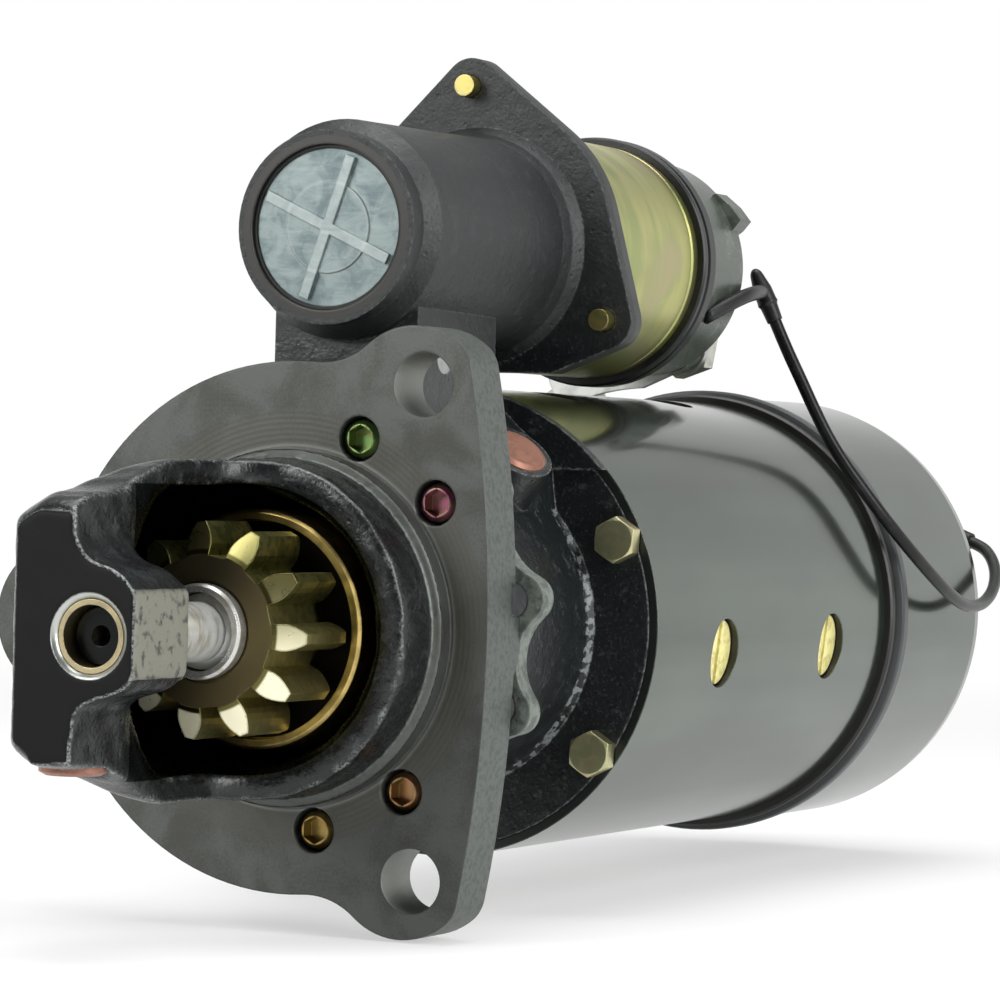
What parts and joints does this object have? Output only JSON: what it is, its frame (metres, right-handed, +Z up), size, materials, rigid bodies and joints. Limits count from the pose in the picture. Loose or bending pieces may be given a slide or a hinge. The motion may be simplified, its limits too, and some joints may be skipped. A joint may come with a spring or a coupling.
{
  "type": "starter motor",
  "caption": "Heavy-duty direct-drive starter motor: open nose with pinion, three-ear flange, shift housing, ribless field frame, top-mounted solenoid and a thin ground lead.",
  "frame": {"origin": "centre of the round pilot on the mounting flange's front face", "axes": "+Y along the shaft from the nose to the rear end cap, +Z up to the solenoid, +X to the right seen from the nose"},
  "size_m": [0.1646, 0.4853, 0.2353],
  "materials": {
    "housing_paint": "rough black primer on cast iron",
    "nose_paint": "grey-green paint on cast iron, machined faces bare",
    "enamel": "glossy grey-green enamel",
    "steel": "turned steel",
    "dark_steel": "hardened steel",
    "yellow_zinc": "yellow chromate on zinc",
    "zinc": "bare zinc plating",
    "copper": "bare copper",
    "brass": "worn bronze",
    "rubber": "matt black rubber",
    "cap_plastic": "glossy dark moulding",
    "plastic": "brown-black phenolic",
    "iron": "machined iron",
    "carbon": "copper-graphite"
  },
  "bodies": {
    "housing": {"nose_housing": "nose_paint", "nose_bushing": "brass", "oil_plugs": "copper", "nose_screws": "yellow_zinc", "lever_housing": "housing_paint", "tower_plug": "zinc", "tower_seal": "rubber", "frame_bolts": "yellow_zinc", "lever_pin": "steel", "center_bearing_plate": "iron", "inner_bushings": "brass", "field_frame": "enamel", "pole_shoes": "iron", "field_coils": "copper", "pole_screws": "enamel", "frame_seal": "rubber", "rear_clamp_ring": "steel", "solenoid_case": "yellow_zinc", "solenoid_flange": "yellow_zinc", "solenoid_bolts": "yellow_zinc", "solenoid_ring": "rubber", "solenoid_cap": "cap_plastic", "solenoid_coil": "copper", "solenoid_core": "iron", "return_spring": "steel", "terminal_studs": "copper", "link_strap": "zinc", "field_stud": "copper", "field_stud_insulator": "plastic", "lead_boot": "rubber", "end_cap": "enamel", "end_cap_bolts": "yellow_zinc", "rear_oil_plug": "steel", "brush_plate": "steel", "brushes": "carbon", "brush_holders": "brass", "brush_springs": "steel", "ground_stud": "zinc", "terminal_nuts": "zinc", "ground_terminal": "zinc", "terminal_boot": "rubber", "ground_lead": "rubber"},
    "armature": {"armature_shaft": "steel", "armature_core": "iron", "armature_winding": "copper", "commutator": "copper"},
    "drive": {"clutch_shell": "yellow_zinc", "clutch_rollers": "steel", "drive_sleeve": "steel", "drive_spring": "steel", "shift_collar": "steel"},
    "pinion": {"pinion": "dark_steel", "pinion_stop_ring": "steel"},
    "lever": {"shift_lever": "dark_steel"},
    "plunger": {"plunger": "steel"},
    "contact": {"contact_disc": "copper"}
  },
  "joints": [
    {"name": "armature_spin", "type": "hinge", "parent": "housing", "child": "armature", "pos_m": [0, 0, 0], "axis": [0, 1, 0], "continuous": true},
    {"name": "drive_slide", "type": "slide", "parent": "armature", "child": "drive", "axis": [0, -1, 0], "range_m": [0, 0.021]},
    {"name": "pinion_overrun", "type": "hinge", "parent": "drive", "child": "pinion", "pos_m": [0, -0.034, 0], "axis": [0, 1, 0], "continuous": true},
    {"name": "lever_swing", "type": "hinge", "parent": "housing", "child": "lever", "pos_m": [0, 0.045, 0.072], "axis": [-1, 0, 0], "range_deg": [0, 16.68]},
    {"name": "plunger_slide", "type": "slide", "parent": "housing", "child": "plunger", "axis": [0, 1, 0], "range_m": [0, 0.00934], "stiffness_N_per_m": 2500, "deforming": ["return_spring"]},
    {"name": "contact_slide", "type": "slide", "parent": "housing", "child": "contact", "axis": [0, 1, 0], "range_m": [0, 0.0034]}
  ],
  "couplings": [
    {"joint": "lever_swing", "follows": "plunger_slide", "rad_per_m": 31.165},
    {"joint": "drive_slide", "follows": "plunger_slide", "ratio": 2.2484},
    {"joint": "contact_slide", "follows": "plunger_slide", "ratio": 0.36402}
  ]
}
